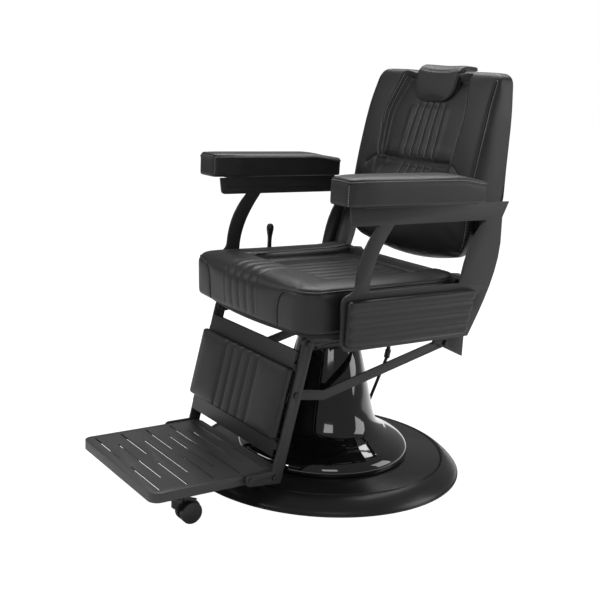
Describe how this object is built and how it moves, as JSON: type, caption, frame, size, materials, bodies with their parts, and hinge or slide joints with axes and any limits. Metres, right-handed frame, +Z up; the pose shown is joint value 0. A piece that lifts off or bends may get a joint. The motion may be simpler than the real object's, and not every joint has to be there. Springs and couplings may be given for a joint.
{
  "type": "hydraulic barber chair",
  "caption": "Black padded barber chair on a round gloss pedestal: reclining back with headrest, padded arms, linked calf rest and slotted footplate with small castors.",
  "frame": {"origin": "centre of the round base, on the floor", "axes": "+Z up, the front of the chair (footplate) towards -Y, the sitter's left side towards +X"},
  "size_m": [0.7, 0.937, 1.013],
  "materials": {
    "ballast": "flat black paint on the steel ballast disc",
    "base_paint": "satin black powder coat",
    "bell_gloss": "high-gloss black enamel",
    "hydraulic_steel": "oiled plain steel",
    "bush_plastic": "matte black bearing plastic",
    "piston_chrome": "hard chrome",
    "cast_head": "black painted casting",
    "frame_paint": "satin black powder coat",
    "side_paint": "fine satin black powder coat",
    "step_paint": "fine satin black powder coat",
    "board_ply": "plain plywood board",
    "seat_leather": "semi-matte black upholstery",
    "side_leather": "semi-matte black upholstery",
    "arm_leather": "semi-matte black upholstery",
    "back_leather": "semi-matte black upholstery",
    "headrest_leather": "semi-matte black upholstery",
    "calf_leather": "semi-matte black upholstery",
    "bolt_steel": "blackened steel",
    "knob_plastic": "gloss black plastic",
    "castor_plastic": "gloss black plastic",
    "pedal_rubber": "matte black rubber sleeve"
  },
  "bodies": {
    "pedestal": {"base_plate": "ballast", "base_cover": "base_paint", "pedestal_bell": "bell_gloss", "pump_cylinder": "hydraulic_steel", "piston_bush": "bush_plastic"},
    "piston": {"piston_rod": "piston_chrome", "swivel_washer": "bush_plastic"},
    "seat_frame": {"swivel_head": "cast_head", "seat_chassis": "frame_paint", "seat_board": "board_ply", "seat_cushion": "seat_leather", "side_plate_left": "side_paint", "side_plate_right": "side_paint", "side_pad_left": "side_leather", "side_pad_right": "side_leather", "arm_rail_left": "side_paint", "arm_rail_right": "side_paint", "arm_pad_left": "arm_leather", "arm_pad_right": "arm_leather", "recline_pin_left": "bolt_steel", "recline_pin_right": "bolt_steel", "leg_pivot_bolt_left": "bolt_steel", "leg_pivot_bolt_right": "bolt_steel", "gas_spring_tube": "frame_paint", "recline_lever_bolt": "bolt_steel"},
    "back": {"back_arm_left": "frame_paint", "back_arm_right": "frame_paint", "back_tie_tube": "frame_paint", "back_cushion": "back_leather", "back_board": "back_leather", "link_bolt_left": "bolt_steel", "link_bolt_right": "bolt_steel"},
    "headrest": {"headrest_cushion": "headrest_leather", "headrest_post_left": "piston_chrome", "headrest_post_right": "piston_chrome"},
    "leg_rest": {"leg_bar_left": "side_paint", "leg_bar_right": "side_paint", "link_screw_left": "bolt_steel", "link_screw_right": "bolt_steel", "step_hinge_screw_left": "bolt_steel", "step_hinge_screw_right": "bolt_steel", "calf_panel": "frame_paint", "calf_pad": "calf_leather"},
    "link_left": {"leg_link_left": "side_paint"},
    "link_right": {"leg_link_right": "side_paint"},
    "footplate": {"footplate": "step_paint", "castor_mount_left": "step_paint", "castor_mount_right": "step_paint"},
    "castor_left": {"castor_fork_left": "castor_plastic"},
    "castor_right": {"castor_fork_right": "castor_plastic"},
    "wheels_left": {"castor_wheels_left": "castor_plastic"},
    "wheels_right": {"castor_wheels_right": "castor_plastic"},
    "recline_lever": {"recline_lever": "bolt_steel", "recline_knob": "knob_plastic"},
    "pump_lever": {"pump_lever": "frame_paint", "pump_pedal_pad": "pedal_rubber"},
    "gas_spring_rod": {"gas_spring_rod": "piston_chrome"}
  },
  "joints": [
    {"name": "lift", "type": "slide", "parent": "pedestal", "child": "piston", "axis": [0, 0, 1], "range_m": [0, 0.16]},
    {"name": "swivel", "type": "hinge", "parent": "piston", "child": "seat_frame", "pos_m": [0, 0, 0.36], "axis": [0, 0, 1], "continuous": true},
    {"name": "recline", "type": "hinge", "parent": "seat_frame", "child": "back", "pos_m": [0, 0.205, 0.465], "axis": [-1, 0, 0], "range_deg": [0, 36]},
    {"name": "leg_swing", "type": "hinge", "parent": "seat_frame", "child": "leg_rest", "pos_m": [0, -0.201, 0.385], "axis": [-1, 0, 0], "range_deg": [0, 47]},
    {"name": "link_left_pivot", "type": "hinge", "parent": "back", "child": "link_left", "pos_m": [0.1909, 0.212, 0.341], "axis": [-1, 0, 0], "range_deg": [-32, 1]},
    {"name": "link_right_pivot", "type": "hinge", "parent": "back", "child": "link_right", "pos_m": [-0.1909, 0.212, 0.341], "axis": [-1, 0, 0], "range_deg": [-32, 1]},
    {"name": "gas_spring", "type": "slide", "parent": "seat_frame", "child": "gas_spring_rod", "axis": [0, 1, 0], "range_m": [-0.08, 0]},
    {"name": "headrest_slide", "type": "slide", "parent": "back", "child": "headrest", "axis": [0, 0.2756, 0.9613], "range_m": [0, 0.07]},
    {"name": "footplate_fold", "type": "hinge", "parent": "leg_rest", "child": "footplate", "pos_m": [0, -0.276, 0.078], "axis": [-1, 0, 0], "range_deg": [0, 55]},
    {"name": "castor_left_swivel", "type": "hinge", "parent": "footplate", "child": "castor_left", "pos_m": [0.16, -0.5, 0.075], "axis": [0, 0, 1], "continuous": true},
    {"name": "castor_right_swivel", "type": "hinge", "parent": "footplate", "child": "castor_right", "pos_m": [-0.16, -0.5, 0.075], "axis": [0, 0, 1], "continuous": true},
    {"name": "castor_left_roll", "type": "hinge", "parent": "castor_left", "child": "wheels_left", "pos_m": [0.16, -0.472, 0.025], "axis": [1, 0, 0], "continuous": true},
    {"name": "castor_right_roll", "type": "hinge", "parent": "castor_right", "child": "wheels_right", "pos_m": [-0.16, -0.472, 0.025], "axis": [1, 0, 0], "continuous": true},
    {"name": "recline_release", "type": "hinge", "parent": "seat_frame", "child": "recline_lever", "pos_m": [-0.265, -0.017, 0.44], "axis": [-1, 0, 0], "range_deg": [0, 20], "stiffness_Nm_per_rad": 1, "springref_deg": -20.05},
    {"name": "pump_pedal", "type": "hinge", "parent": "seat_frame", "child": "pump_lever", "pos_m": [-0.06, 0.1, 0.316], "axis": [0, -1, 0], "range_deg": [0, 14], "stiffness_Nm_per_rad": 12, "springref_deg": -20.05}
  ],
  "couplings": [
    {"joint": "leg_swing", "follows": "recline", "ratio": 1.295},
    {"joint": "link_left_pivot", "follows": "recline", "ratio": -0.867},
    {"joint": "link_right_pivot", "follows": "recline", "ratio": -0.867},
    {"joint": "gas_spring", "follows": "recline", "m_per_rad": -0.1177}
  ]
}
